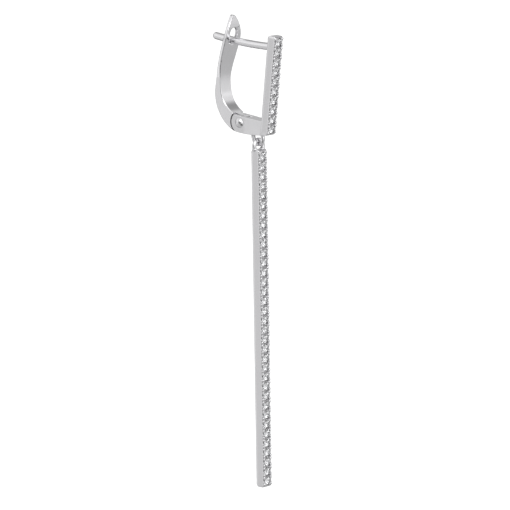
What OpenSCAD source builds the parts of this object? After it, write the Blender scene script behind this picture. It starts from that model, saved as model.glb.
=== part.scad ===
// Leverback bar earring: a short front bar and a long hanging bar, each set with one row of
// round stones. +Z is up, the stones face -Y, and the origin is on the ear post, in the
// middle of the room for the lobe.

/* [Stones] */
// Diameter of a stone
stone_d = 1.08; // [0.9:0.02:1.3]
// Gap from one stone to the next
stone_gap = 0.12; // [0.1:0.02:0.3]
// Width across the flat table
table_d = 0.62; // [0.5:0.02:0.7]
// Height of the crown above the girdle
crown_h = 0.16; // [0.12:0.01:0.2]
// Height of the star points as a share of the crown
star_share = 0.52; // [0.4:0.02:0.6]
// Height of the girdle band
girdle_h = 0.03; // [0.02:0.01:0.06]
// Depth of the pavilion below the girdle
pavilion_h = 0.46; // [0.4:0.01:0.5]
// Depth of the lower halves as a share of the pavilion
half_share = 0.76; // [0.7:0.02:0.8]
// Gap round a stone in its seat
seat_gap = 0.02; // [0.01:0.005:0.03]

/* [Pave bars] */
// Stones in the front bar
clip_count = 10; // [8:1:12]
// Stones in the hanging bar
drop_count = 35; // [12:1:38]
// Metal on each side of the stones
rim_w = 0.23; // [0.18:0.01:0.3]
// Depth of the front bar, front to back
clip_bar_d = 1.35; // [1.2:0.05:1.6]
// Depth of the hanging bar, front to back
drop_bar_d = 1.4; // [1.1:0.05:1.8]
// Metal past the last seat of the front bar
clip_end = 0.11; // [0.06:0.01:0.3]
// Metal past the last seat of the hanging bar
drop_end = 0.22; // [0.15:0.01:0.4]
// Rounding of the two front corners
front_r = 0.22; // [0.1:0.02:0.3]
// Rounding of the front bar's two back corners
clip_back_r = 0.3; // [0.2:0.02:0.5]
// Rounding of the hanging bar's two back corners
drop_back_r = 0.42; // [0.2:0.02:0.5]
// Depth of the girdle below the front of the bar
girdle_sink = 0.12; // [0.08:0.01:0.16]
// Depth of the notch beside each stone
notch_h = 0.2; // [0.15:0.01:0.25]
// Length of the notch beside each stone
notch_l = 0.58; // [0.4:0.02:0.7]
// Radius of the groove that parts two beads
groove_r = 0.07; // [0.05:0.01:0.09]

/* [Clip] */
// Forward lean of the clip as it hangs
clip_lean = 7; // [0:0.5:10]
// Room for the lobe, from the origin to the back of the front bar
front_reach = 3.95; // [3.5:0.05:4.5]
// Room for the lobe, from the origin to the lever
back_reach = 2.22; // [2.15:0.01:2.3]
// Top of the front bar above the origin
bar_top = 1.75; // [1.2:0.05:2.4]
// Height of the arm where it leaves the front bar
arm_h = 1.57; // [1.5:0.01:1.65]
// How far the arm's belly hangs below the foot of the front bar
belly_h = 0.51; // [0.45:0.01:0.6]
// Lowest point of the belly behind the front bar
belly_back = 3.25; // [2.9:0.05:3.4]

/* [Post] */
// Diameter of the ear post
post_d = 0.92; // [0.76:0.02:0.96]
// Length of the post behind the origin
post_back = 5.42; // [5:0.02:6]
// Radius of the post's bow
post_bow_r = 62; // [40:1:80]
// Lowest point of the bow behind the origin
post_low = 2.4; // [2:0.1:4]
// Step down from the wire to its round end
end_step = 0.01; // [0.01:0.005:0.04]

/* [Hinge] */
// Pivot behind the back of the front bar
pivot_back = 3.33; // [3.25:0.01:3.4]
// Pivot above the foot of the front bar
pivot_up = 0.73; // [0.7:0.01:0.78]
// Radius of the ears' round end
ear_r = 1.33; // [1.25:0.01:1.4]
// Thickness of one ear
ear_t = 0.5; // [0.45:0.01:0.6]
// Thickness of the lever's tongue between the ears
tongue_t = 0.82; // [0.7:0.01:1]
// Gap on each side of the tongue
tongue_gap = 0.045; // [0.03:0.005:0.08]
// Radius of the tongue's round end
tongue_r = 0.84; // [0.75:0.01:0.85]
// Gap between the tongue's end and the bottom of its slot
slot_gap = 0.12; // [0.08:0.01:0.2]
// Gap between the lever's shoulder and the ears
shoulder_gap = 0.12; // [0.08:0.01:0.15]
// Diameter of the rivet
pin_d = 0.6; // [0.5:0.02:0.7]
// Running gap round the rivet
pin_gap = 0.03; // [0.02:0.005:0.05]
// Diameter of the rivet's domed heads
head_d = 1.3; // [1.1:0.01:1.5]
// Height of the rivet's domed heads
head_h = 0.36; // [0.2:0.01:0.4]
// Gap under the rivet's heads
head_gap = 0.02; // [0.01:0.005:0.04]

/* [Lever] */
// Thickness of the lever's upper part
lever_t = 0.53; // [0.45:0.01:0.6]
// Lean of the lever's straight part towards the lobe
lever_lean = 12; // [11.5:0.5:13]
// Radius of the lever's back below its straight part
back_r = 14; // [12:0.5:20]
// Radius of the lever's heel
heel_r = 4.83; // [4.7:0.01:4.9]
// How far the heel stays in front of the line of the lever's back
heel_in = 0.175; // [0.1:0.005:0.3]
// Lowest point of the heel's curve below the arm's belly
heel_low = 0.13; // [0.05:0.01:0.2]
// Radius of the lever's hollow below its straight part
hollow_r = 7.8; // [7:0.1:9]
// Radius of the hollow's foot, where it runs into the arm's top
foot_r = 3.43; // [3.2:0.01:3.6]
// Height of the leaf's tip above the origin
tip_up = 3.06; // [2.8:0.01:3.4]
// Radius of the leaf's tip
tip_r = 0.42; // [0.2:0.02:0.6]
// Length of the tip that turns back
flare_l = 3.55; // [3:0.05:4]
// Radius of the tip's turn
flare_r = 5.7; // [5:0.1:8]
// Width of the leaf
leaf_w = 2.72; // [2.4:0.02:2.8]
// Height of the leaf's widest place above the origin
leaf_up = -0.1; // [-0.4:0.05:0.4]
// Radius of the leaf's long taper towards the hinge
taper_r = 28; // [20:1:40]
// Width of the hole for the post
hole_w = 1.3; // [1.2:0.02:1.4]
// Top of the hole above the origin
hole_up = 1.5; // [1.4:0.02:1.7]
// Foot of the hole below the origin
hole_down = 0.62; // [0.55:0.01:0.7]

/* [Loops] */
// Wire of both loops
wire_d = 0.52; // [0.45:0.01:0.6]
// Middle radius of the loop under the arm
arm_loop_r = 0.75; // [0.74:0.01:0.9]
// Middle radius of the loop on the hanging bar
bar_loop_r = 0.78; // [0.7:0.01:0.8]
// Loop's centre behind the back of the front bar
loop_back = 0.84; // [0.75:0.01:1]
// Loop's centre below the arm
loop_drop = 0.42; // [0.2:0.01:0.5]
// Lean of the loop under the arm, its top towards the back
loop_lean = 16; // [0:1:18]
// Depth of the loop's limbs in the arm
limb_sink = 0.45; // [0.3:0.01:0.6]
// Gap between the two loops where one hangs in the other
link_gap = 0.03; // [0.02:0.01:0.1]
// Depth of the loop's foot in the hanging bar
loop_sink = 0.66; // [0.5:0.02:0.8]
// Distance of the loop behind the middle of the hanging bar
loop_set_back = 0.1; // [0:0.01:0.2]

/* [Hidden] */

silver = [0.86, 0.87, 0.88];
silver_shade = [0.76, 0.77, 0.79];
clear_stone = [0.93, 0.95, 0.98];

curve_fn = 64;
fine_fn = 32;
cut = 0.2;       // how far a cutter runs past what it cuts
facets = 8;
arc_steps = 16;    // straight steps in each arc of an outline

// Rows of stones
pitch = stone_d + stone_gap;
bar_w = stone_d + 2 * rim_w;
seat_r = stone_d / 2 + seat_gap;
clip_bar_l = clip_count * pitch + 2 * clip_end;
notch_r = (pow(notch_l / 2, 2) + pow(notch_h, 2)) / (2 * notch_h);

// Clip, in its own upright frame: y towards the back, z up
bar_back_y = -front_reach;
bar_front_y = bar_back_y - clip_bar_d;
foot_z = bar_top - clip_bar_l;
arm_top_z = foot_z + arm_h;
belly_y = bar_back_y + belly_back;
belly_z = foot_z - belly_h;
belly_r = (pow(belly_y - bar_front_y, 2) + pow(belly_h, 2)) / (2 * belly_h);
pivot = [bar_back_y + pivot_back, foot_z + pivot_up];
hinge_w = tongue_t + 2 * (tongue_gap + ear_t);
slot_y = pivot[0] - tongue_r - slot_gap;
shoulder_r = ear_r + shoulder_gap;
root_d = clip_bar_d / 3;    // depth of the arm's and the post's roots in the bar

// Points along an arc
function arc(centre, r, from, to) =
    [for (i = [0:arc_steps]) centre + r * unit(from + (to - from) * i / arc_steps)];
function unit(a) = [cos(a), sin(a)];

// Height of the arm's belly at y
function belly_at(y) = belly_z + belly_r - sqrt(pow(belly_r, 2) - pow(y - belly_y, 2));

// Lever, in rows across (n) and along (s) its straight part
function along(n, s) = [n * cos(lever_lean) - s * sin(lever_lean),
                        n * sin(lever_lean) + s * cos(lever_lean)];
n_in = back_reach * cos(lever_lean);
n_out = n_in + lever_t;
// Centre of an arc of radius r that is tangent to the line n = edge and runs on into the arc of
// radius low_r round the point low
function upper_centre(edge, r, low, low_r) =
    let (n = low * unit(lever_lean), s = low * unit(lever_lean + 90))
    along(edge - r, s + sqrt(pow(r - low_r, 2) - pow(edge - r - n, 2)));
function heading(from, to) = atan2(to[1] - from[1], to[0] - from[0]);
heel_z = belly_z - heel_low + heel_r;
heel = [(n_out - heel_in - heel_r - heel_z * sin(lever_lean)) / cos(lever_lean), heel_z];
back = upper_centre(n_out, back_r, heel, heel_r);
foot = [pivot[0], arm_top_z + foot_r];
hollow = upper_centre(n_in, hollow_r, foot, foot_r);
s_flare = tip_up - flare_l;
flare = along(n_out + flare_r, s_flare);
clear_of_all = 20;    // longer than the clip is deep or wide

// Loops
arm_loop = [bar_back_y + loop_back, belly_at(bar_back_y + loop_back) - loop_drop];
function leaned(p) = [p[0] * cos(clip_lean) - p[1] * sin(clip_lean),
                      p[0] * sin(clip_lean) + p[1] * cos(clip_lean)];
arm_loop_at = leaned(arm_loop);
bar_loop_z = arm_loop_at[1] - arm_loop_r + wire_d + link_gap - bar_loop_r;
hang_y = arm_loop_at[0];
drop_top_z = bar_loop_z - bar_loop_r - wire_d / 2 + loop_sink;

// A flat shape drawn in y and z, given a width along x
module across(w) rotate([90, 0, 90]) linear_extrude(w, center = true) children();

// A flat shape drawn in x and z, given a depth along y
module through(d) rotate([90, 0, 0]) linear_extrude(d, center = true) children();

module disc(at, r) translate(at) circle(r, $fn = curve_fn);

module clip_tilt() rotate([clip_lean, 0, 0]) children();

// Height of stone i below the top of its bar
function stone_z(i, end) = -end - pitch * (i + 0.5);

// Side view of a bar: front at y = 0, top at z = 0
module bar_side(depth, length, back_r) {
    translate([0, -length + front_r]) square([depth - back_r, length - 2 * front_r]);
    translate([front_r, -length]) square([depth - front_r - back_r, length]);
    translate([depth / 2, -length + back_r]) square([depth / 2, length - 2 * back_r]);
    for (z = [-front_r, -length + front_r]) disc([front_r, z], front_r);
    for (z = [-back_r, -length + back_r]) disc([depth - back_r, z], back_r);
}

// Seat for one stone, opening towards -Y
module seat() {
    shelf = girdle_sink + girdle_h;
    rotate([-90, 0, 0]) {
        translate([0, 0, -cut]) cylinder(shelf + cut, r = seat_r, $fn = fine_fn);
        translate([0, 0, shelf]) cylinder(pavilion_h + seat_gap, seat_r, seat_gap, $fn = fine_fn);
    }
}

// Bar with its row of seats, the notches beside them and the grooves that part the beads
module pave_bar(count, depth, end, back_r) {
    length = count * pitch + 2 * end;
    difference() {
        across(bar_w) bar_side(depth, length, back_r);
        for (i = [0:count - 1]) translate([0, 0, stone_z(i, end)]) {
            seat();
            across(bar_w + cut) disc([notch_h - notch_r, 0], notch_r);
        }
        for (i = [1:count - 1]) across(bar_w + cut) disc([0, -end - pitch * i], groove_r);
    }
}

// Ring of points of a brilliant at radius r and height z, turned by half a step if half is true
function ring(count, r, z, half) =
    [for (i = [0:count - 1]) concat(r * unit(360 / count * (i + (half ? 0.5 : 0))), z)];

// Round brilliant with flat kites: table, stars, kites and halves above the girdle, mains and
// halves below. The girdle's foot is at z = 0 and the table faces +Z.
module brilliant() {
    n = facets;
    m = 2 * facets;
    r = stone_d / 2;
    step = cos(180 / n);
    star_r = (r - (r - table_d / 2) * star_share) / step;
    half_r = r * (1 - half_share) / step;
    points = concat(ring(n, table_d / 2, girdle_h + crown_h, false),
                    ring(n, star_r, girdle_h + crown_h * star_share, true),
                    ring(m, r, girdle_h, false), ring(m, r, 0, false),
                    ring(n, half_r, -pavilion_h * half_share, true), [[0, 0, -pavilion_h]]);
    s = n;         // first star point
    g = s + n;     // first point of the girdle's top
    f = g + m;     // first point of the girdle's foot
    w = f + m;     // first point of the lower halves
    c = w + n;     // culet
    faces = concat(
        [[for (i = [n - 1:-1:0]) i]],
        [for (i = [0:n - 1]) [i, (i + 1) % n, s + i]],
        [for (i = [0:n - 1]) [i, s + i, g + 2 * i]],
        [for (i = [0:n - 1]) [i, g + 2 * i, s + (i + n - 1) % n]],
        [for (i = [0:n - 1]) [s + i, g + 2 * i + 1, g + 2 * i]],
        [for (i = [0:n - 1]) [s + i, g + (2 * i + 2) % m, g + 2 * i + 1]],
        [for (i = [0:m - 1]) let (j = (i + 1) % m) [g + i, g + j, f + j]],
        [for (i = [0:m - 1]) let (j = (i + 1) % m) [g + i, f + j, f + i]],
        [for (i = [0:n - 1]) [f + 2 * i, f + 2 * i + 1, w + i]],
        [for (i = [0:n - 1]) [f + 2 * i + 1, f + (2 * i + 2) % m, w + i]],
        [for (i = [0:n - 1]) [f + 2 * i, w + i, c]],
        [for (i = [0:n - 1]) [f + 2 * i, c, w + (i + n - 1) % n]]);
    polyhedron(points, faces);
}

// Row of loose stones for a bar
module stone_row(count, end) {
    for (i = [0:count - 1])
        translate([0, girdle_sink + girdle_h, stone_z(i, end)]) rotate([90, 0, 0]) brilliant();
}

module at_clip_bar() clip_tilt() translate([0, bar_front_y, bar_top]) children();

module at_drop_bar() translate([0, hang_y - loop_set_back - drop_bar_d / 2, drop_top_z])
    children();

// Side view of the arm with its ears. It starts in the bar, behind the seats, with only a thin
// foot that runs on below them to the front.
module arm_side() {
    root_y = bar_back_y - root_d;
    intersection() {
        union() {
            translate([root_y, belly_z]) square([pivot[0] - root_y, arm_top_z - belly_z]);
            translate([bar_front_y + front_r, belly_z])
                square([clip_bar_d, foot_z + clip_end - belly_z]);
            disc(pivot, ear_r);
        }
        translate([bar_front_y, belly_z]) square([clear_of_all, arm_top_z - belly_z]);
        disc([belly_y, belly_z + belly_r], belly_r);
    }
}

// Plan of the arm: as wide as the hinge at the ears, as wide as the bar at the front
module arm_plan() {
    polygon([[-hinge_w / 2, clear_of_all], [hinge_w / 2, clear_of_all], [hinge_w / 2, slot_y],
             [bar_w / 2, bar_back_y], [bar_w / 2, bar_front_y], [-bar_w / 2, bar_front_y],
             [-bar_w / 2, bar_back_y], [-hinge_w / 2, slot_y]]);
}

module arm() {
    difference() {
        intersection() {
            across(hinge_w) arm_side();
            translate([0, 0, belly_z - cut]) linear_extrude(arm_h + belly_h + 2 * cut) arm_plan();
        }
        slot_w = tongue_t + 2 * tongue_gap;
        translate([-slot_w / 2, slot_y, belly_z - cut])
            cube([slot_w, clear_of_all, arm_h + belly_h + 2 * cut]);
        across(hinge_w + cut) disc(pivot, pin_d / 2 + pin_gap);
    }
}

// Bowed post with a round free end
module post() {
    bow_z = sqrt(pow(post_bow_r, 2) - pow(post_low, 2));
    front_a = asin((bar_back_y - root_d - post_low) / post_bow_r);
    back_a = asin((post_back - post_d / 2 - post_low) / post_bow_r);
    translate([0, post_low, bow_z]) rotate([0, 90, 0]) {
        rotate([0, 0, front_a]) rotate_extrude(angle = back_a - front_a, $fn = 4 * curve_fn)
            translate([post_bow_r, 0]) circle(d = post_d, $fn = fine_fn);
        rotate([0, 0, back_a]) translate([post_bow_r, 0, 0])
            sphere(d = post_d - 2 * end_step, $fn = fine_fn);
    }
}

// Loop under the arm: a half ring on two straight limbs that end inside the arm
module arm_loop() {
    limb = loop_drop + limb_sink;
    translate([0, arm_loop[0], arm_loop[1]]) rotate([-clip_lean - loop_lean, 0, 0]) {
        rotate([0, 90, 0]) rotate([0, 0, -90]) rotate_extrude(angle = 180, $fn = curve_fn)
            translate([arm_loop_r, 0]) circle(d = wire_d, $fn = fine_fn);
        for (side = [-1, 1]) translate([0, side * arm_loop_r, 0])
            cylinder(limb, d = wire_d, $fn = fine_fn);
    }
}

module clip_frame() {
    color(silver) {
        at_clip_bar() pave_bar(clip_count, clip_bar_d, clip_end, clip_back_r);
        clip_tilt() {
            arm();
            post();
            arm_loop();
        }
    }
}

// Side view of the lever, from its heel up the back to the tip and down the hollow
module lever_side() {
    heel_a = -acos((pivot[0] + tongue_r / 2 - heel[0]) / heel_r);
    back_a = heading(back, heel);
    hollow_a = heading(hollow, foot);
    flare_a = 180 + lever_lean;
    tip_a = flare_a - (flare_l + cut) / flare_r * 180 / PI;
    polygon(concat(arc(heel, heel_r, heel_a, back_a), arc(back, back_r, back_a, lever_lean),
                   arc(flare, flare_r, flare_a, tip_a),
                   arc(flare, flare_r + lever_t, tip_a, flare_a),
                   arc(hollow, hollow_r, lever_lean, hollow_a), arc(foot, foot_r, hollow_a, -90)));
}

// Front view of the lever: a leaf with a round tip that narrows to the width of the hinge
module lever_front() {
    half_w = leaf_w / 2;
    tip = [0, tip_up - tip_r];
    leaf_r = (pow(half_w, 2) + pow(tip[1] - leaf_up, 2) - pow(tip_r, 2)) / (leaf_w - 2 * tip_r);
    leaf_a = atan2(tip[1] - leaf_up, leaf_r - half_w);
    taper_a = acos((taper_r - half_w + hinge_w / 2) / taper_r);
    right = concat([[hinge_w / 2, belly_z - cut]],
                   arc([half_w - taper_r, leaf_up], taper_r, -taper_a, 0),
                   arc([half_w - leaf_r, leaf_up], leaf_r, 0, leaf_a), arc(tip, tip_r, leaf_a, 90));
    left = [for (i = [len(right) - 1:-1:0]) [-right[i][0], right[i][1]]];
    polygon(concat(right, left));
}

module post_hole() {
    foot = -hole_down + hole_w / 2;
    head = hole_up - hole_w / 2;
    translate([-hole_w / 2, foot]) square([hole_w, head - foot]);
    for (z = [foot, head]) disc([0, z], hole_w / 2);
}

module lever() {
    color(silver) clip_tilt() difference() {
        union() {
            intersection() {
                across(leaf_w + cut) lever_side();
                through(2 * clear_of_all) lever_front();
            }
            across(tongue_t) disc(pivot, tongue_r);
        }
        through(2 * clear_of_all) post_hole();
        for (side = [-1, 1]) translate([side * (tongue_t + hinge_w) / 2, 0, 0])
            across(hinge_w) disc(pivot, shoulder_r);
        across(hinge_w) disc(pivot, pin_d / 2 + pin_gap);
    }
}

// Rivet along x with a domed head on each side
module hinge_pin() {
    dome_r = (pow(head_d / 2, 2) + pow(head_h, 2)) / (2 * head_h);
    head_x = hinge_w / 2 + head_gap;
    color(silver_shade) clip_tilt() translate([0, pivot[0], pivot[1]]) {
        rotate([0, 90, 0]) cylinder(2 * head_x, d = pin_d, center = true, $fn = fine_fn);
        for (side = [0, 180]) rotate([0, 90, side]) intersection() {
            translate([0, 0, head_x + head_h - dome_r]) sphere(dome_r, $fn = curve_fn);
            translate([0, 0, head_x]) cylinder(2 * head_h, d = head_d, $fn = fine_fn);
        }
    }
}

module drop_bar() {
    color(silver) {
        at_drop_bar() pave_bar(drop_count, drop_bar_d, drop_end, drop_back_r);
        translate([0, hang_y, bar_loop_z]) rotate([90, 0, 0]) rotate_extrude($fn = curve_fn)
            translate([bar_loop_r, 0]) circle(d = wire_d, $fn = fine_fn);
    }
}

module clip_stones() {
    color(clear_stone) at_clip_bar() stone_row(clip_count, clip_end);
}

module drop_stones() {
    color(clear_stone) at_drop_bar() stone_row(drop_count, drop_end);
}

clip_frame();
lever();
hinge_pin();
drop_bar();
clip_stones();
drop_stones();
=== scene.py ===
from math import acos, asin, atan, atan2, cos, pi, radians, sin, sqrt

import bmesh
import bpy
from mathutils import Matrix, Vector


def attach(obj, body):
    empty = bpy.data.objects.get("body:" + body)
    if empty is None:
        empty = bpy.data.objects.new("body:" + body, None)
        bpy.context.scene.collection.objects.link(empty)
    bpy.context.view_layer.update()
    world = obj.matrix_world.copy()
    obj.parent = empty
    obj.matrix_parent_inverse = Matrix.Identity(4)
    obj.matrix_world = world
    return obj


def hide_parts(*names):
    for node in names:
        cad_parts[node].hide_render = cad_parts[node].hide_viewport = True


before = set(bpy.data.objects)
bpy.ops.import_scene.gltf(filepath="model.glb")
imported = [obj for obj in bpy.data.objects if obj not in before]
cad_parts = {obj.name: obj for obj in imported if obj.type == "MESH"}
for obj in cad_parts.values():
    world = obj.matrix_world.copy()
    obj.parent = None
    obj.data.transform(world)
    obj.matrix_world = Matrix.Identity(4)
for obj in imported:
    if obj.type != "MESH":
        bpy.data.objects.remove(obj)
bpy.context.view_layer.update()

# Sizes are in millimetres, and each piece is scaled to metres when it is settled.
mm = 0.001
past = 0.2          # how far a cutter runs past what it cuts
wellPast = 1        # the same for a deep slot
clear = 9           # longer than the clip is deep
joinGap = 0.001     # points that a cut leaves closer than this are merged
samePoint = 0.0001  # drawn points closer than this are one
atPlace = 0.01      # how near a place a part of a mesh lies to be picked there
facing = 0.9        # how much of a face's normal points a way to be picked by it
creaseAngle = 32
clipLean = radians(7)


# Picking, cutting and finishing
def onlyPick(*pieces):
    bpy.ops.object.select_all(action="DESELECT")
    for piece in pieces:
        piece.select_set(True)
    bpy.context.view_layer.objects.active = pieces[0]


def newest(name):
    piece = bpy.context.object
    piece.name = name
    piece.data.name = name
    return piece


def fixPlace(piece):
    onlyPick(piece)
    bpy.ops.object.transform_apply(location=True, rotation=True, scale=True)
    return piece


def openUp(piece, kind="FACE"):
    onlyPick(piece)
    bpy.ops.object.mode_set(mode="EDIT")
    bpy.ops.mesh.select_mode(type=kind)
    bpy.ops.mesh.select_all(action="DESELECT")


def closeUp():
    bpy.ops.object.mode_set(mode="OBJECT")


def pick(piece, kind, test):
    bpy.ops.mesh.select_mode(type=kind)
    bpy.ops.mesh.select_all(action="DESELECT")
    mesh = bmesh.from_edit_mesh(piece.data)
    parts = {"VERT": mesh.verts, "EDGE": mesh.edges, "FACE": mesh.faces}[kind]
    chosen = [part for part in parts if test(part)]
    for part in chosen:
        part.select_set(True)
    mesh.select_flush_mode()
    bmesh.update_edit_mesh(piece.data)
    return len(chosen)


def middle(edge):
    return (edge.verts[0].co + edge.verts[1].co) / 2


def runsAlong(edge, axis):
    return abs((edge.verts[1].co - edge.verts[0].co).normalized()[axis]) > 0.99


def finish(piece, kind, **settings):
    onlyPick(piece)
    tool = piece.modifiers.new(kind.lower(), kind)
    for setting, value in settings.items():
        setattr(tool, setting, value)
    bpy.ops.object.modifier_apply(modifier=tool.name)


def carve(piece, cutter, how="DIFFERENCE"):
    finish(piece, "BOOLEAN", operation=how, object=cutter, solver="EXACT")
    bpy.data.objects.remove(cutter)
    openUp(piece)
    bpy.ops.mesh.select_all(action="SELECT")
    bpy.ops.mesh.remove_doubles(threshold=joinGap)
    bpy.ops.mesh.dissolve_degenerate(threshold=joinGap / 2)
    closeUp()


def softenEdges(piece, width, steps=3, angle=creaseAngle):
    # slivers left by the cutters would hold the bevel back
    openUp(piece)
    bpy.ops.mesh.select_all(action="SELECT")
    bpy.ops.mesh.remove_doubles(threshold=width / 4)
    bpy.ops.mesh.select_all(action="SELECT")
    bpy.ops.mesh.dissolve_limited(angle_limit=radians(0.3))
    closeUp()
    finish(piece, "BEVEL", width=width, segments=steps, limit_method="ANGLE",
           angle_limit=radians(angle), loop_slide=False, use_clamp_overlap=False)


def smooth(piece, angle=creaseAngle):
    onlyPick(piece)
    bpy.ops.object.shade_smooth_by_angle(angle=radians(angle))
    finish(piece, "WEIGHTED_NORMAL", keep_sharp=True, weight=80)


def cleanSkin(piece):
    openUp(piece)
    bpy.ops.mesh.select_all(action="SELECT")
    bpy.ops.mesh.remove_doubles(threshold=joinGap / 2)
    bpy.ops.mesh.normals_make_consistent(inside=False)
    closeUp()


def copyOf(piece, move=(0, 0, 0)):
    onlyPick(piece)
    bpy.ops.object.duplicate(linked=False)
    bpy.ops.transform.translate(value=move)
    return bpy.context.object


def joined(name, pieces):
    onlyPick(*pieces)
    bpy.ops.object.join()
    return fixPlace(newest(name))


# Painted shade: a darker, duller silver put on faces in seats, gaps and holes and on loop insides,
# where shade falls
def paintShade(piece, test):
    openUp(piece)
    found = pick(piece, "FACE", test)
    piece.data.materials.clear()
    piece.data.materials.append(silverMetal)
    piece.data.materials.append(recessShadeMetal)
    piece.active_material_index = 1
    bpy.ops.object.material_slot_assign()
    closeUp()
    print("recess faces in", piece.name, found)


def settled(piece, body, material, nodes, leaning=False):
    if not piece.data.materials:
        piece.data.materials.append(material)
    if leaning:
        piece.rotation_euler = (clipLean, 0, 0)
        fixPlace(piece)
    piece.scale = (mm, mm, mm)
    fixPlace(piece)
    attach(piece, body)
    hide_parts(*nodes)
    print("settled", piece.name, len(piece.data.polygons), "faces")


# Starting shapes
def block(name, low, high):
    bpy.ops.object.select_all(action="DESELECT")
    bpy.ops.mesh.primitive_cube_add(size=1, location=[(a + b) / 2 for a, b in zip(low, high)],
                                    scale=[b - a for a, b in zip(low, high)])
    return fixPlace(newest(name))


def rod(name, at, radius, length, sides=32, turn=(0, pi / 2, 0)):
    bpy.ops.object.select_all(action="DESELECT")
    bpy.ops.mesh.primitive_cylinder_add(vertices=sides, radius=radius, depth=length,
                                        location=at, rotation=turn)
    return fixPlace(newest(name))


def ball(name, at, radius, squash=(1, 1, 1), segments=16, rings=8, turn=(0, 0, 0)):
    bpy.ops.object.select_all(action="DESELECT")
    bpy.ops.mesh.primitive_uv_sphere_add(segments=segments, ring_count=rings, radius=radius,
                                         location=at, rotation=turn)
    piece = newest(name)
    piece.scale = squash
    return fixPlace(piece)


def around(angle):
    return Vector((cos(angle), sin(angle)))


def heading(start, end):
    return atan2(end[1] - start[1], end[0] - start[0])


# An outline drawn from a point by straight moves and turns, filled, and pulled out both ways
# along X, Y or Z. A move is a point, and a turn is (centre, angle, steps).
def drawn(name, along, half, start, moves):
    place, spinAxis, out = {
        "X": (lambda p: Vector((0, p[0], p[1])), (-1, 0, 0), Vector((1, 0, 0))),
        "Y": (lambda p: Vector((p[0], 0, p[1])), (0, 1, 0), Vector((0, 1, 0))),
        "Z": (lambda p: Vector((p[0], p[1], 0)), (0, 0, -1), Vector((0, 0, 1))),
    }[along]
    # a plane merged to its one middle point starts the outline
    bpy.ops.object.select_all(action="DESELECT")
    bpy.ops.mesh.primitive_plane_add(size=past)
    piece = newest(name)
    openUp(piece, "VERT")
    bpy.ops.mesh.select_all(action="SELECT")
    bpy.ops.mesh.merge(type="CENTER")
    bpy.ops.transform.translate(value=place(start) - out * half)
    here = Vector(start)
    for move in list(moves) + [start]:
        if len(move) == 2:
            step = Vector(move) - here
            if step.length > samePoint / 10:
                bpy.ops.mesh.extrude_region_move(TRANSFORM_OT_translate={"value": place(step)})
            here = Vector(move)
        else:
            centre, angle, steps = move
            bpy.ops.mesh.spin(steps=steps, angle=angle, center=place(centre), axis=spinAxis)
            arm = here - Vector(centre)
            here = Vector(centre) + arm.length * around(atan2(arm.y, arm.x) + angle)
    bpy.ops.mesh.select_all(action="SELECT")
    bpy.ops.mesh.remove_doubles(threshold=samePoint)
    bpy.ops.mesh.edge_face_add()
    bpy.ops.mesh.extrude_region_move(TRANSFORM_OT_translate={"value": out * 2 * half})
    bpy.ops.mesh.select_all(action="SELECT")
    bpy.ops.mesh.normals_make_consistent(inside=False)
    closeUp()
    return piece


# Materials: sums on wires add their Math nodes
class Wire:
    def __init__(self, board, socket):
        self.board = board
        self.socket = socket

    def value(self, operation, first, second):
        return self.board.add("Math", {"operation": operation}, {0: first, 1: second})

    def __add__(self, other):
        return self.value("ADD", self, other)

    def __radd__(self, other):
        return self.value("ADD", other, self)

    def __sub__(self, other):
        return self.value("SUBTRACT", self, other)

    def __rsub__(self, other):
        return self.value("SUBTRACT", other, self)

    def __mul__(self, other):
        return self.value("MULTIPLY", self, other)

    def __rmul__(self, other):
        return self.value("MULTIPLY", other, self)


class Board:
    def __init__(self, tree):
        self.tree = tree
        tree.nodes.clear()

    def add(self, kind, settings, inputs, out=0):
        node = self.tree.nodes.new("ShaderNode" + kind)
        for setting, value in settings.items():
            if setting == "stops":
                ramp = node.color_ramp
                while len(ramp.elements) < len(value):
                    ramp.elements.new(0.5)
                for element, (place, shade) in zip(ramp.elements, value):
                    element.position = place
                    element.color = shade
            else:
                setattr(node, setting, value)
        for name, value in inputs.items():
            if isinstance(value, Wire):
                self.tree.links.new(value.socket, node.inputs[name])
            else:
                node.inputs[name].default_value = value
        return Wire(self, node.outputs[out]) if len(node.outputs) else None

    def place(self):
        return self.add("TexCoord", {}, {}, "Object")


def newMaterial(name):
    material = bpy.data.materials.new(name)
    material.use_nodes = True
    return material, Board(material.node_tree)


silverLook = {
    "bright": (0.91, 0.905, 0.92, 1),
    "shaded": (0.81, 0.805, 0.825, 1),
    "roughness": 0.16,
    "roughnessSpread": 0.10,
    "cloudScale": 900,      # soft clouds in the polish, about 1 mm
    "lineScale": 9000,      # fine buffing lines
    "waveScale": 700,       # slow waves of a cast surface
}


polish = {
    "buffed": (1, 1, 0.12),     # the lines run along the bars
    "cloudShade": 0.5,
    "lineShade": 0.3,
    "lineRoughness": 0.06,
    "waveStrength": 0.12,
    "waveDepth": 0.00004,
    "lineStrength": 0.1,
    "lineDepth": 0.000004,
}


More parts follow.
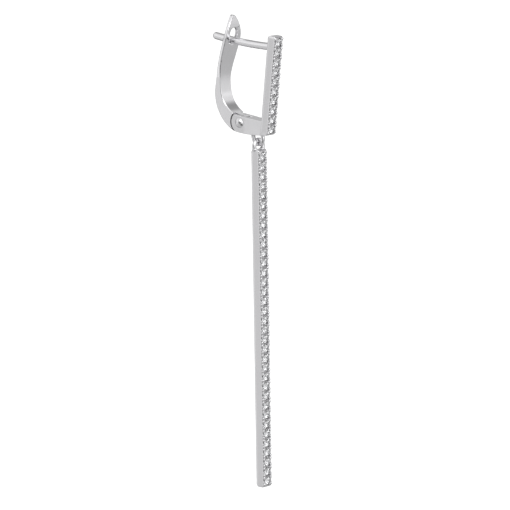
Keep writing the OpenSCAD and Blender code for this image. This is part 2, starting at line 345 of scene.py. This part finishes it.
def silver(name, look):
    material, board = newMaterial(name)
    place = board.place()
    clouds = board.add("TexNoise", {}, {"Vector": place, "Scale": look["cloudScale"],
                                        "Detail": 3.0})
    stretched = board.add("Mapping", {}, {"Vector": place, "Scale": polish["buffed"]})
    lines = board.add("TexNoise", {}, {"Vector": stretched, "Scale": look["lineScale"],
                                       "Detail": 2.0})
    waves = board.add("TexNoise", {}, {"Vector": place, "Scale": look["waveScale"], "Detail": 1.0})
    colour = board.add("Mix", {"data_type": "RGBA"},
                       {"Factor": clouds * polish["cloudShade"] + lines * polish["lineShade"],
                        6: look["bright"], 7: look["shaded"]}, 2)
    roughness = (look["roughness"] + (clouds - 0.5) * look["roughnessSpread"]
                 + (lines - 0.5) * polish["lineRoughness"])
    slow = board.add("Bump", {}, {"Strength": polish["waveStrength"],
                                  "Distance": polish["waveDepth"], "Height": waves})
    fine = board.add("Bump", {}, {"Strength": polish["lineStrength"],
                                  "Distance": polish["lineDepth"], "Height": lines,
                                  "Normal": slow})
    surface = board.add("BsdfPrincipled", {}, {"Base Color": colour, "Metallic": 1.0,
                                               "Roughness": roughness, "Normal": fine})
    board.add("OutputMaterial", {}, {"Surface": surface})
    return material


# painted shade: these darker colours stand for the shade in seats, gaps, holes and loop insides
recessShadeLook = {
    "bright": (0.72, 0.715, 0.73, 1),
    "shaded": (0.54, 0.535, 0.55, 1),
    "roughness": 0.38,
    "roughnessSpread": 0.12,
    "cloudScale": 1500,
    "lineScale": 6000,
    "waveScale": 1200,
}
stoneLook = {
    "bright": (0.99, 0.99, 1.0, 1),
    "shaded": (0.93, 0.94, 0.96, 1),
    "ior": 2.16,
    "clearness": 0.92,
    "roughness": 0.02,
    "cloudScale": 1600.0,
}


def stoneMaterial(name, look):
    material, board = newMaterial(name)
    clouds = board.add("TexNoise", {}, {"Vector": board.place(), "Scale": look["cloudScale"],
                                        "Detail": 1.0})
    colour = board.add("Mix", {"data_type": "RGBA"},
                       {"Factor": clouds, 6: look["bright"], 7: look["shaded"]}, 2)
    surface = board.add("BsdfPrincipled", {}, {
        "Base Color": colour, "Roughness": clouds * look["roughness"],
        "IOR": look["ior"], "Transmission Weight": look["clearness"]})
    board.add("OutputMaterial", {}, {"Surface": surface})
    return material


silverMetal = silver("polished_silver", silverLook)
# the recess silver is painted shade
recessShadeMetal = silver("recess_painted_shade_silver", recessShadeLook)
clearStone = stoneMaterial("clear_stone", stoneLook)
print("materials made")


# Stones, cut facet by facet
stone = {
    "across": 1.08,
    "gap": 0.12,
    "table": 0.62,
    "crown": 0.16,
    "girdle": 0.03,
    "pavilion": 0.46,
    "starShare": 0.52,
    "halfShare": 0.76,
    "sunk": 0.12,           # girdle below the front of the bar
    "facets": 8,
    "turnEach": radians(47),
}
pitch = stone["across"] + stone["gap"]


def cutFacets(piece, count, firstTurn, slope, reach, height):
    # slope is measured from the flat table, and a facet passes reach from the axis at height
    for i in range(count):
        turn = firstTurn + 2 * pi * i / count
        up = cos(slope)
        outward = abs(sin(slope))
        bpy.ops.mesh.select_all(action="SELECT")
        bpy.ops.mesh.bisect(plane_co=(reach * cos(turn), reach * sin(turn), height),
                            plane_no=(outward * cos(turn), outward * sin(turn), up),
                            clear_outer=True, use_fill=True)


def brilliant():
    radius = stone["across"] / 2
    table = stone["table"] / 2
    facets = stone["facets"]
    step = pi / facets
    starHeight = stone["crown"] * stone["starShare"]
    starReach = (radius - (radius - table) * stone["starShare"]) / cos(step)
    chord = radius * cos(step / 2)
    top = stone["girdle"]
    piece = rod("stone", (0, 0, (top + stone["crown"] - stone["pavilion"]) / 2), radius,
                stone["crown"] + top + stone["pavilion"], 4 * facets, (0, 0, 0))
    openUp(piece)
    cutFacets(piece, facets, 0, atan(stone["crown"] / (radius - table)), radius, top)
    cutFacets(piece, facets, step, atan((stone["crown"] - starHeight)
                                        / (starReach - table * cos(step))),
              starReach, top + starHeight)
    halfSlope = atan(starHeight / (chord - starReach * cos(step / 2)))
    cutFacets(piece, 2 * facets, step / 2, halfSlope, chord, top)
    cutFacets(piece, facets, 0, pi - atan(stone["pavilion"] / radius), radius, 0)
    halfDepth = stone["pavilion"] * stone["halfShare"]
    halfReach = radius * (1 - stone["halfShare"]) / cos(step) * cos(step / 2)
    cutFacets(piece, 2 * facets, step / 2, pi - atan(halfDepth / (chord - halfReach)), chord, 0)
    closeUp()
    return piece


# Stones stand in a row below z = 0, with the front of their bar at y = 0
def stoneRow(name, count, end, first):
    pattern = brilliant()
    row = []
    for i in range(count):
        copy = copyOf(pattern)
        copy.rotation_euler = (pi / 2, 0, 0)
        copy.rotation_euler.rotate_axis("Z", stone["turnEach"] * (i + first))
        copy.location = (0, stone["sunk"] + stone["girdle"], -end - pitch * (i + 0.5))
        row.append(copy)
    bpy.data.objects.remove(pattern)
    return joined(name, row)


# Bars with their seats, notches and beads
bar = {
    "rim": 0.23,
    "seatGap": 0.02,
    "seatFoot": 0.12,        # the bottom of a seat, as a share of its mouth
    "seatBack": 0.2,         # no seat comes this near the back of the bar
    "seatMargin": 0.03,
    "endMargin": 0.02,
    "notchHeight": 0.2,
    "notchLength": 0.58,
    "grooveRadius": 0.075,
    "saddleRadius": 0.24,    # the wall between two stones is cut down
    "saddleHalf": 0.42,
    "beadRadius": 0.15,
    "beadAcross": 0.605,
    "beadFromEnd": 0.185,
    "beadSunk": 0.12,
    "landSunk": 0.08,        # the beads stand up from the land between them
    "frontRound": 0.34,
    "sideEdge": 0.12,
    "sideStretch": 0.4,      # the side edges are rounded further down the side than across
}
barWide = stone["across"] + 2 * bar["rim"]


def repeated(cutter, count):
    finish(cutter, "ARRAY", count=count, use_relative_offset=False, use_constant_offset=True,
           constant_offset_displace=(0, 0, -pitch))
    return cutter


def seatCutter(at):
    radius = stone["across"] / 2 + bar["seatGap"]
    shelf = stone["sunk"] + stone["girdle"]
    piece = rod("seat", (0, (shelf - past) / 2, at), radius, shelf + past, 28, (-pi / 2, 0, 0))
    openUp(piece)
    pick(piece, "FACE", lambda face: face.normal.y > 0.99)
    bpy.ops.mesh.extrude_region_move(
        TRANSFORM_OT_translate={"value": (0, stone["pavilion"] + bar["seatGap"], 0)})
    bpy.ops.transform.resize(value=(bar["seatFoot"], 1, bar["seatFoot"]))
    closeUp()
    return piece


# A bar with the front of its beads at y = 0 and its top at z = 0
def paveBar(name, count, depth, end, backRound):
    land = bar["landSunk"]
    foot = -count * pitch - 2 * end
    body = block(name, (-barWide / 2, land, foot), (barWide / 2, depth, 0))
    openUp(body)
    for y, radius, steps in ((land, bar["frontRound"], 6), (depth, backRound, 8)):
        pick(body, "EDGE", lambda e: runsAlong(e, 0) and abs(middle(e).y - y) < atPlace)
        bpy.ops.mesh.bevel(offset=radius, segments=steps, affect="EDGES")
    stretch = bar["sideStretch"]
    bpy.ops.mesh.select_all(action="SELECT")
    bpy.ops.transform.resize(value=(1, stretch, stretch), center_override=(0, 0, 0))
    pick(body, "EDGE", lambda e: abs(abs(middle(e).x) - barWide / 2) < atPlace)
    bpy.ops.mesh.bevel(offset=bar["sideEdge"], segments=5, affect="EDGES")
    bpy.ops.mesh.select_all(action="SELECT")
    bpy.ops.transform.resize(value=(1, 1 / stretch, 1 / stretch), center_override=(0, 0, 0))
    closeUp()

    first = -end - pitch / 2
    notchRadius = ((bar["notchLength"] / 2) ** 2 + bar["notchHeight"] ** 2) / (
        2 * bar["notchHeight"])
    across = barWide + past
    carve(body, repeated(seatCutter(first), count))
    carve(body, repeated(rod("notch", (0, bar["notchHeight"] - notchRadius, first), notchRadius,
                             across), count))
    between = first - pitch / 2
    carve(body, repeated(rod("saddle", (0, 0, between), bar["saddleRadius"],
                             2 * bar["saddleHalf"], 20), count - 1))
    carve(body, repeated(rod("groove", (0, land / 2, between), bar["grooveRadius"], across, 16),
                         count - 1))
    beads = [ball("bead", (side * bar["beadAcross"], bar["beadSunk"],
                           first + up * (pitch / 2 - bar["beadFromEnd"])),
                  bar["beadRadius"], (1, 0.95, 1), 12, 8, (pi / 2, 0, 0))
             for side in (-1, 1) for up in (-1, 1)]
    carve(body, repeated(joined("beads", beads), count), "UNION")

    def inSeat(face):
        at = face.calc_center_median()
        shelf = stone["sunk"] + stone["girdle"]
        return (abs(at.x) < barWide / 2 - bar["rim"] + bar["seatMargin"]
                and shelf - 2 * bar["seatMargin"] < at.y < depth - bar["seatBack"]
                and foot + bar["endMargin"] < at.z < -bar["endMargin"])

    # painted shade in the stone seats, seen through the stones
    paintShade(body, inSeat)
    return body


# The clip is drawn upright and leaned when it is settled
clip = {
    "stones": 10,
    "depth": 1.35,
    "end": 0.11,
    "backRound": 0.36,
    "frontReach": 3.95,
    "top": 1.75,
    "armHeight": 1.57,
    "belly": 0.51,
    "bellyBack": 3.25,
    "softEdge": 0.07,
    "rootStep": 0.004,   # keeps the arm's root just inside the bar's sides
    "drawnIn": 0.75,     # the arm narrows from here to its front end, from the bar's front
    "noseBack": 0.1,
}
hinge = {
    "back": 3.33,
    "up": 0.73,
    "earRadius": 1.33,
    "earThick": 0.5,
    "tongue": 0.82,
    "tongueGap": 0.045,
    "tongueRadius": 0.84,
    "slotGap": 0.12,
    "shoulderGap": 0.12,
    "pin": 0.6,
    "pinGap": 0.03,
    "head": 1.3,
    "headHeight": 0.36,
    "headGap": 0.02,
}
barBack = -clip["frontReach"]
barFront = barBack - clip["depth"]
footZ = clip["top"] - clip["stones"] * pitch - 2 * clip["end"]
armTop = footZ + clip["armHeight"]
rootY = barBack - clip["depth"] / 3
bellyZ = footZ - clip["belly"]
bellyY = barBack + clip["bellyBack"]
bellyRadius = ((bellyY - barFront) ** 2 + clip["belly"] ** 2) / (2 * clip["belly"])
pivot = Vector((barBack + hinge["back"], footZ + hinge["up"]))
hingeWide = hinge["tongue"] + 2 * (hinge["tongueGap"] + hinge["earThick"])
slotY = pivot.x - hinge["tongueRadius"] - hinge["slotGap"]


def bellyAt(y):
    return bellyZ + bellyRadius - sqrt(bellyRadius ** 2 - (y - bellyY) ** 2)


def clipArm():
    ear = hinge["earRadius"]
    rise = armTop - pivot.y
    corner = (pivot.x + sqrt(ear ** 2 - rise ** 2), armTop)
    belly = Vector((bellyY, bellyZ + bellyRadius))
    apart = belly - pivot
    share = (ear ** 2 - bellyRadius ** 2 + apart.length_squared) / (2 * apart.length)
    offset = sqrt(ear ** 2 - share ** 2)
    ahead = apart.normalized()
    meet = pivot + ahead * share + Vector((ahead.y, -ahead.x)) * offset
    frontY = barFront + bar["frontRound"]
    frontPoint = Vector((frontY, bellyAt(frontY)))
    arm = drawn("clip_arm", "X", hingeWide / 2, (rootY, armTop), [
        corner,
        (pivot, heading(pivot, meet) - heading(pivot, corner), 28),
        (belly, heading(belly, frontPoint) - heading(belly, meet), 20),
        (frontY, footZ + clip["end"]),
        (rootY, footZ + clip["end"]),
    ])
    root = barWide / 2 - clip["rootStep"]
    nose = root - bar["sideEdge"]
    noseY = barFront + clip["noseBack"]
    drawnInY = barFront + clip["drawnIn"]
    plan = drawn("plan", "Z", 2 * clear, (-hingeWide / 2, clear), [
        (-hingeWide / 2, slotY),
        (-root, barBack),
        (-root, drawnInY),
        (-nose, noseY),
        (nose, noseY),
        (root, drawnInY),
        (root, barBack),
        (hingeWide / 2, slotY),
        (hingeWide / 2, clear),
    ])
    carve(arm, plan, "INTERSECT")
    slot = hinge["tongue"] / 2 + hinge["tongueGap"]
    carve(arm, block("slot", (-slot, slotY, bellyZ - wellPast),
                     (slot, clear, armTop + wellPast)))
    carve(arm, rod("bore", (0, *pivot), hinge["pin"] / 2 + hinge["pinGap"], hingeWide + past))
    softenEdges(arm, clip["softEdge"])
    return arm


def clipFrame():
    piece = paveBar("clip_body", clip["stones"], clip["depth"], clip["end"], clip["backRound"])
    piece.location = (0, barFront, clip["top"])
    fixPlace(piece)
    carve(piece, clipArm(), "UNION")
    smooth(piece)
    return piece


post = {
    "thick": 0.92,
    "back": 5.42,
    "bowRadius": 62,
    "low": 2.4,
    "domeSteps": 7,
    "domeFlat": 0.4,     # the part of a step that is left flat on the end
}


def earPost():
    radius = post["thick"] / 2
    bowZ = sqrt(post["bowRadius"] ** 2 - post["low"] ** 2)
    centre = (0, post["low"], bowZ)
    frontTurn = asin((rootY - post["low"]) / post["bowRadius"])
    wallTurn = asin((barBack - post["low"]) / post["bowRadius"])
    backTurn = asin((post["back"] - radius - post["low"]) / post["bowRadius"])
    bpy.ops.object.select_all(action="DESELECT")
    bpy.ops.mesh.primitive_circle_add(vertices=32, radius=radius, rotation=(pi / 2, 0, 0),
                                      location=(0, post["low"], bowZ - post["bowRadius"]))
    piece = newest("ear_post")
    fixPlace(piece)
    openUp(piece, "VERT")
    bpy.ops.mesh.select_all(action="SELECT")
    turnTo(frontTurn, centre)
    bpy.ops.mesh.spin(steps=4, angle=wallTurn - frontTurn, center=centre, axis=(-1, 0, 0))
    bpy.ops.mesh.spin(steps=36, angle=backTurn - wallTurn, center=centre, axis=(-1, 0, 0))
    ahead = Vector((0, cos(backTurn), sin(backTurn)))
    end = Vector(centre) + post["bowRadius"] * Vector((0, sin(backTurn), -cos(backTurn)))
    size = 1.0
    gone = 0.0
    for i in range(1, post["domeSteps"] + 1):
        turn = i * pi / 2 / (post["domeSteps"] + post["domeFlat"])
        step = radius * sin(turn) - gone
        gone += step
        bpy.ops.mesh.extrude_region_move(TRANSFORM_OT_translate={"value": ahead * step})
        bpy.ops.transform.resize(value=[cos(turn) / size] * 3, center_override=end + ahead * gone)
        size = cos(turn)
    bpy.ops.mesh.edge_face_add()
    pick(piece, "EDGE", lambda e: e.is_boundary)
    bpy.ops.mesh.edge_face_add()
    bpy.ops.mesh.select_all(action="SELECT")
    bpy.ops.mesh.normals_make_consistent(inside=False)
    closeUp()
    smooth(piece, 40)
    return piece


def turnTo(angle, centre):
    # transform.rotate turns the other way in the background
    bpy.ops.transform.rotate(value=-angle, orient_axis="X", center_override=centre)


loops = {
    "wire": 0.52,
    "armRadius": 0.75,
    "barRadius": 0.78,
    "back": 0.84,
    "drop": 0.42,
    "lean": radians(16),
    "limbSink": 0.45,
    "linkGap": 0.03,
    "footSink": 0.66,
    "setBack": 0.1,
    "solder": 0.36,
    "solderSquash": (0.95, 0.95, 0.7),
    # faces on the inner side of a loop get painted shade
    "innerSide": 0.3,    # how far a face has to look towards the middle to be on the inner side
}


def armLoop():
    at = Vector((0, barBack + loops["back"], bellyAt(barBack + loops["back"]) - loops["drop"]))
    bpy.ops.object.select_all(action="DESELECT")
    bpy.ops.mesh.primitive_circle_add(vertices=20, radius=loops["wire"] / 2,
                                      location=at + Vector((0, loops["armRadius"], 0)))
    piece = newest("arm_loop")
    fixPlace(piece)
    openUp(piece, "VERT")
    bpy.ops.mesh.select_all(action="SELECT")
    bpy.ops.mesh.spin(steps=24, angle=-pi, center=at, axis=(-1, 0, 0))
    pick(piece, "EDGE", lambda e: e.is_boundary)
    bpy.ops.mesh.extrude_region_move(
        TRANSFORM_OT_translate={"value": (0, 0, loops["drop"] + loops["limbSink"])})
    bpy.ops.mesh.select_all(action="SELECT")
    turnTo(-clipLean - loops["lean"], at)
    for side in (-1, 1):
        pick(piece, "EDGE", lambda e: e.is_boundary and (middle(e).y - at.y) * side > 0)
        bpy.ops.mesh.edge_face_add()
    bpy.ops.mesh.select_all(action="SELECT")
    bpy.ops.mesh.normals_make_consistent(inside=False)
    closeUp()
    # painted shade on the loop's inner side
    paintShade(piece, lambda f: f.normal.dot(at - f.calc_center_median()) > loops["innerSide"])
    smooth(piece, 40)
    return piece, at


lever = {
    "thick": 0.53,
    "reach": 2.22,
    "lean": radians(12),
    "backRadius": 14,
    "heelRadius": 4.83,
    "heelIn": 0.175,
    "heelLow": 0.13,
    "hollowRadius": 7.8,
    "footRadius": 3.43,
    "tipUp": 3.06,
    "tipRadius": 0.42,
    "flareLength": 3.55,
    "flareRadius": 5.7,
    "leafWide": 2.72,
    "leafUp": -0.1,
    "taperRadius": 28,
    "holeWide": 1.3,
    "holeUp": 1.5,
    "holeDown": 0.62,
    "softEdge": 0.17,
    "shoulderEdge": 0.03,
    "bluntAt": 1.17,        # the feather edge over the ears is cut off this far from the rivet
    "bluntDown": 0.8,
    "bluntUp": 0.6,
    "innerFlare": 0.04,     # the inner face is a little wider than the outer
}


def onLean(n, s):
    lean = lever["lean"]
    return Vector((n * cos(lean) - s * sin(lean), n * sin(lean) + s * cos(lean)))


# Centre of an arc of that radius, tangent to the line n = edge, that runs on into the arc of
# radius lowRadius round low
def upperCentre(edge, radius, low, lowRadius):
    n = low @ around(lever["lean"])
    s = low @ around(lever["lean"] + pi / 2)
    return onLean(edge - radius, s + sqrt((radius - lowRadius) ** 2 - (edge - radius - n) ** 2))


def leverBody():
    lean = lever["lean"]
    innerN = lever["reach"] * cos(lean)
    outerN = innerN + lever["thick"]
    heelZ = bellyZ - lever["heelLow"] + lever["heelRadius"]
    heel = Vector(((outerN - lever["heelIn"] - lever["heelRadius"] - heelZ * sin(lean))
                   / cos(lean), heelZ))
    back = upperCentre(outerN, lever["backRadius"], heel, lever["heelRadius"])
    foot = Vector((pivot.x, armTop + lever["footRadius"]))
    hollow = upperCentre(innerN, lever["hollowRadius"], foot, lever["footRadius"])
    flare = onLean(outerN + lever["flareRadius"], lever["tipUp"] - lever["flareLength"])
    flareTurn = (lever["flareLength"] + past) / lever["flareRadius"]
    heelFrom = -acos((pivot.x + hinge["tongueRadius"] / 2 - heel.x) / lever["heelRadius"])
    heelTo = heading(back, heel)
    hollowTo = heading(hollow, foot)
    tipTurn = pi + lean - flareTurn
    side = drawn("lever_body", "X", lever["leafWide"] / 2 + past,
                 heel + lever["heelRadius"] * around(heelFrom), [
        (heel, heelTo - heelFrom, 30),
        (back, lean - heelTo, 30),
        tuple(flare + lever["flareRadius"] * around(pi + lean)),
        (flare, -flareTurn, 10),
        tuple(flare + (lever["flareRadius"] + lever["thick"]) * around(tipTurn)),
        (flare, flareTurn, 10),
        tuple(hollow + lever["hollowRadius"] * around(lean)),
        (hollow, hollowTo - lean, 30),
        (foot, -pi / 2 - hollowTo, 30),
    ])

    half = lever["leafWide"] / 2
    tip = Vector((0, lever["tipUp"] - lever["tipRadius"]))
    rise = tip.y - lever["leafUp"]
    leafRadius = (half ** 2 + rise ** 2 - lever["tipRadius"] ** 2) / (
        2 * (half - lever["tipRadius"]))
    leafTurn = atan2(rise, leafRadius - half)
    taper = acos((lever["taperRadius"] - half + hingeWide / 2) / lever["taperRadius"])
    taperFoot = lever["leafUp"] - lever["taperRadius"] * sin(taper)
    low = bellyZ - wellPast
    front = drawn("front", "Y", clear, (hingeWide / 2, low), [
        (hingeWide / 2, taperFoot),
        (Vector((half - lever["taperRadius"], lever["leafUp"])), taper, 12),
        (Vector((half - leafRadius, lever["leafUp"])), leafTurn, 18),
        (tip, pi - 2 * leafTurn, 12),
        (Vector((leafRadius - half, lever["leafUp"])), leafTurn, 18),
        (Vector((lever["taperRadius"] - half, lever["leafUp"])), taper, 12),
        (-hingeWide / 2, low),
    ])
    carve(side, front, "INTERSECT")
    openUp(side)
    inside = Vector((0, barBack, 0))
    for way in (-1, 1):
        pick(side, "VERT", lambda v: v.co.x * way > 0 and any(
            abs(f.normal.x) < 0.5 and f.normal.dot(inside - v.co) > 0 for f in v.link_faces))
        bpy.ops.transform.translate(value=(way * lever["innerFlare"], 0, 0))
    closeUp()
    holeHalf = lever["holeWide"] / 2
    hole = drawn("hole", "Y", clear, (holeHalf, -lever["holeDown"] + holeHalf), [
        (holeHalf, lever["holeUp"] - holeHalf),
        (Vector((0, lever["holeUp"] - holeHalf)), pi, 20),
        (-holeHalf, -lever["holeDown"] + holeHalf),
        (Vector((0, -lever["holeDown"] + holeHalf)), pi, 20),
    ])
    carve(side, hole)
    softenEdges(side, lever["softEdge"])
    carve(side, rod("tongue", (0, *pivot), hinge["tongueRadius"], hinge["tongue"], 48), "UNION")
    shoulder = hinge["earRadius"] + hinge["shoulderGap"]
    for way in (-1, 1):
        carve(side, rod("shoulder", (way * (hinge["tongue"] + hingeWide) / 2, *pivot),
                        shoulder, hingeWide, 96))
    carve(side, rod("bore", (0, *pivot), hinge["pin"] / 2 + hinge["pinGap"], hingeWide))
    for way in (-1, 1):
        inner = way * hinge["tongue"] / 2
        outer = way * clear
        carve(side, block("blunt", (min(inner, outer), pivot.x, pivot.y + lever["bluntDown"]),
                          (max(inner, outer), pivot.x + lever["bluntAt"],
                           armTop + lever["bluntUp"])))
    softenEdges(side, lever["shoulderEdge"], 2, 50)

    def inGap(face):
        at = face.calc_center_median()
        out = sqrt((at.y - pivot.x) ** 2 + (at.z - pivot.y) ** 2)
        return (abs(out - shoulder) < atPlace and abs(face.normal.x) < 0.3) or (
            out < shoulder and abs(face.normal.x) > facing)

    def inHole(face):
        at = face.calc_center_median()
        return (abs(abs(at.x) - holeHalf) < atPlace and abs(face.normal.x) > 0.95
                and -lever["holeDown"] < at.z < lever["holeUp"])

    # painted shade in the hinge gap and on the hole walls
    paintShade(side, lambda face: inGap(face) or inHole(face))
    smooth(side)
    return side


def hingePin():
    head = hinge["head"] / 2
    rise = hinge["headHeight"]
    domeRadius = (head ** 2 + rise ** 2) / (2 * rise)
    headX = hingeWide / 2 + hinge["headGap"]
    piece = ball("hinge_rivet", (headX + rise - domeRadius, *pivot), domeRadius, (1, 1, 1), 40,
                 40, (0, pi / 2, 0))
    openUp(piece)
    bpy.ops.mesh.select_all(action="SELECT")
    bpy.ops.mesh.bisect(plane_co=(headX, 0, 0), plane_no=(1, 0, 0), clear_inner=True,
                        use_fill=True)
    pick(piece, "FACE", lambda f: f.normal.x < -facing
         and abs(f.calc_center_median().x - headX) < atPlace)
    bpy.ops.mesh.inset(thickness=head - hinge["pin"] / 2)
    bpy.ops.mesh.extrude_region_move(TRANSFORM_OT_translate={"value": (-headX, 0, 0)})
    bpy.ops.mesh.delete(type="FACE")
    closeUp()
    finish(piece, "MIRROR", use_axis=(True, False, False), merge_threshold=joinGap)
    cleanSkin(piece)
    smooth(piece, 50)
    return piece


drop = {
    "stones": 35,
    "depth": 1.4,
    "end": 0.22,
    "backRound": 0.42,
}


def leaned(point):
    return Vector((point[0] * cos(clipLean) - point[1] * sin(clipLean),
                   point[0] * sin(clipLean) + point[1] * cos(clipLean)))


print("building the clip")
settled(clipFrame(), "clip", silverMetal, ["clip_frame"], leaning=True)
settled(earPost(), "clip", silverMetal, ["clip_frame"], leaning=True)
ring, ringAt = armLoop()
settled(ring, "clip", silverMetal, ["clip_frame"], leaning=True)
settled(leverBody(), "lever", silverMetal, ["lever"], leaning=True)
settled(hingePin(), "clip", silverMetal, ["hinge_pin"], leaning=True)
clipStones = stoneRow("clip_stone_row", clip["stones"], clip["end"], 0)
clipStones.location = (0, barFront, clip["top"])
settled(fixPlace(clipStones), "clip", clearStone, ["clip_stones"], leaning=True)

print("building the drop")
hang = leaned(ringAt.yz)
ringZ = hang.y - loops["armRadius"] + loops["wire"] + loops["linkGap"] - loops["barRadius"]
dropTop = ringZ - loops["barRadius"] - loops["wire"] / 2 + loops["footSink"]
dropFront = hang.x - loops["setBack"] - drop["depth"] / 2


def dropBar():
    piece = paveBar("drop_body", drop["stones"], drop["depth"], drop["end"], drop["backRound"])
    piece.location = (0, dropFront, dropTop)
    fixPlace(piece)
    smooth(piece)
    return piece


def dropRing():
    bpy.ops.object.select_all(action="DESELECT")
    bpy.ops.mesh.primitive_torus_add(location=(0, hang.x, ringZ), rotation=(pi / 2, 0, 0),
                                     major_radius=loops["barRadius"],
                                     minor_radius=loops["wire"] / 2,
                                     major_segments=56, minor_segments=20)
    piece = newest("drop_ring")
    fixPlace(piece)
    rise = ringZ - dropTop
    side = sqrt(loops["barRadius"] ** 2 - rise ** 2)
    for way in (-1, 1):
        carve(piece, ball("solder", (way * side, hang.x, dropTop), loops["solder"],
                          loops["solderSquash"], 24, 12), "UNION")
    centre = Vector((0, hang.x, ringZ))
    # painted shade on the ring's inner side
    paintShade(piece, lambda f: f.normal.dot(centre - f.calc_center_median()) > loops["innerSide"])
    smooth(piece, 60)
    return piece


settled(dropBar(), "drop", silverMetal, ["drop_bar"])
settled(dropRing(), "drop", silverMetal, ["drop_bar"])
dropStones = stoneRow("drop_stone_row", drop["stones"], drop["end"], 3)
dropStones.location = (0, dropFront, dropTop)
settled(fixPlace(dropStones), "drop", clearStone, ["drop_stones"])


# Floor, light and camera
studio = {
    "floorZ": -75,
    "floorHalf": 3000,
    "floorShade": (0.93, 0.93, 0.93, 1),
    "floorPale": (0.95, 0.95, 0.95, 1),
    "floorGlow": 0.45,
    "skyLight": 0.56,
    "stoneContrast": 0.45,
    "stoneDark": 0.16,
    "keyAt": (-300, -160, 230),
    "keyAim": (0, -1, -25),
    "keySize": (120, 160),
    "keyPower": 0.25,
    # where it is, its inner and outer half angle, and how much it adds: soft lights, dark flags
    "patches": [
        ((0, 0, 1), 20, 90, 0.12),
        ((0, 0, -1), 30, 85, -0.06),
        ((-0.45, -0.6, 0.7), 20, 60, 0.45),
        ((-0.25, -0.95, 0.1), 8, 32, 0.5),
        ((-0.95, -0.3, 0.05), 10, 32, -0.45),
        ((-0.54, -0.54, -0.64), 8, 24, -0.45),
        ((0.73, -0.12, 0.67), 6, 22, -0.34),
        ((0.3, 0.6, 0.75), 8, 24, -0.32),
        ((0.25, 0.95, -0.1), 14, 30, -0.28),
        ((0.73, 0.67, 0.05), 6, 20, -0.16),
        ((-0.6, 0.77, -0.2), 4, 13, 0.31),
        ((-0.735, 0.645, -0.21), 4, 10, -0.14),
        ((0.73, -0.68, 0.08), 6, 22, 0.18),
        ((0.73, -0.5, 0.42), 6, 22, 0.2),
        ((0.73, -0.5, -0.45), 10, 30, -0.03),
        ((-0.88, 0.46, -0.15), 5, 18, 0.2),
        ((-0.75, 0.6, 0.2), 5, 18, 0.3),
        ((-0.4, 0.75, -0.53), 8, 30, 0.08),
        ((-0.45, 0.69, 0.5), 8, 26, 0.25),
        ((0.3, 0.62, -0.73), 12, 30, -0.32),
    ],
}
view = {
    "target": Vector((0.385, -0.502, -26.281)),
    "turn": radians(-48),
    "tilt": radians(10),
    "roll": radians(0.9),
    "distance": 400,
    "lens": 228.7,
    "film": 36,
}


def floor():
    material, board = newMaterial("pale_floor")
    clouds = board.add("TexNoise", {}, {"Vector": board.place(), "Scale": 3.0, "Detail": 2.0})
    colour = board.add("Mix", {"data_type": "RGBA"},
                       {"Factor": clouds, 6: studio["floorShade"], 7: studio["floorPale"]}, 2)
    surface = board.add("BsdfPrincipled", {}, {
        "Base Color": colour, "Roughness": 0.9, "Emission Color": colour,
        "Emission Strength": studio["floorGlow"]})
    board.add("OutputMaterial", {}, {"Surface": surface})
    bpy.ops.object.select_all(action="DESELECT")
    bpy.ops.mesh.primitive_plane_add(size=2 * studio["floorHalf"] * mm,
                                     location=(0, 0, studio["floorZ"] * mm))
    piece = newest("floor")
    fixPlace(piece)
    piece.data.materials.append(material)
    piece.visible_glossy = False
    piece.visible_transmission = False


def sky():
    world = bpy.data.worlds.new("studio")
    bpy.context.scene.world = world
    world.use_nodes = True
    board = Board(world.node_tree)
    ray = board.add("TexCoord", {}, {}, "Generated")

    def patch(way, inner, outer):
        near = board.add("VectorMath", {"operation": "DOT_PRODUCT"},
                         {0: ray, 1: Vector(way).normalized()}, "Value")
        return board.add("MapRange", {"interpolation_type": "SMOOTHSTEP"},
                         {"Value": near, "From Min": cos(radians(outer)),
                          "From Max": cos(radians(inner))})

    light = studio["skyLight"]
    for way, inner, outer, strength in studio["patches"]:
        light = light + patch(way, inner, outer) * strength
    # clear stones gather stronger lights and darks than the metal
    through = board.add("LightPath", {}, {}, "Is Transmission Ray")
    light = light + through * (light * studio["stoneContrast"] - studio["stoneDark"])
    grey = board.add("Background", {}, {"Color": light, "Strength": 1.0})
    white = board.add("Background", {}, {"Color": (1, 1, 1, 1), "Strength": 1.0})
    seen = board.add("LightPath", {}, {}, "Is Camera Ray")
    both = board.add("MixShader", {}, {0: seen, 1: grey, 2: white})
    board.add("OutputWorld", {}, {"Surface": both})


def softbox():
    at = Vector(studio["keyAt"])
    bpy.ops.object.select_all(action="DESELECT")
    bpy.ops.object.light_add(type="AREA", location=at * mm)
    lamp = bpy.context.object
    lamp.name = "key_softbox"
    lamp.data.shape = "RECTANGLE"
    lamp.data.size = studio["keySize"][0] * mm
    lamp.data.size_y = studio["keySize"][1] * mm
    lamp.data.energy = studio["keyPower"]
    lamp.rotation_euler = (Vector(studio["keyAim"]) - at).to_track_quat("-Z", "Y").to_euler()


def camera():
    data = bpy.data.cameras.new("photo_camera")
    data.lens = view["lens"]
    data.sensor_width = view["film"]
    data.clip_start = 0.01
    data.clip_end = 20
    piece = bpy.data.objects.new("photo_camera", data)
    bpy.context.scene.collection.objects.link(piece)
    turned = (Matrix.Rotation(view["turn"], 4, "Z")
              @ Matrix.Rotation(pi / 2 - view["tilt"], 4, "X")
              @ Matrix.Rotation(-view["roll"], 4, "Z"))
    backward = turned @ Vector((0, 0, 1))
    piece.matrix_world = Matrix.Translation(
        (view["target"] + view["distance"] * backward) * mm) @ turned
    bpy.context.scene.camera = piece


print("setting floor, light and camera")
floor()
sky()
softbox()
camera()
bpy.context.scene.view_settings.view_transform = "Standard"
bpy.context.scene.view_settings.look = "None"
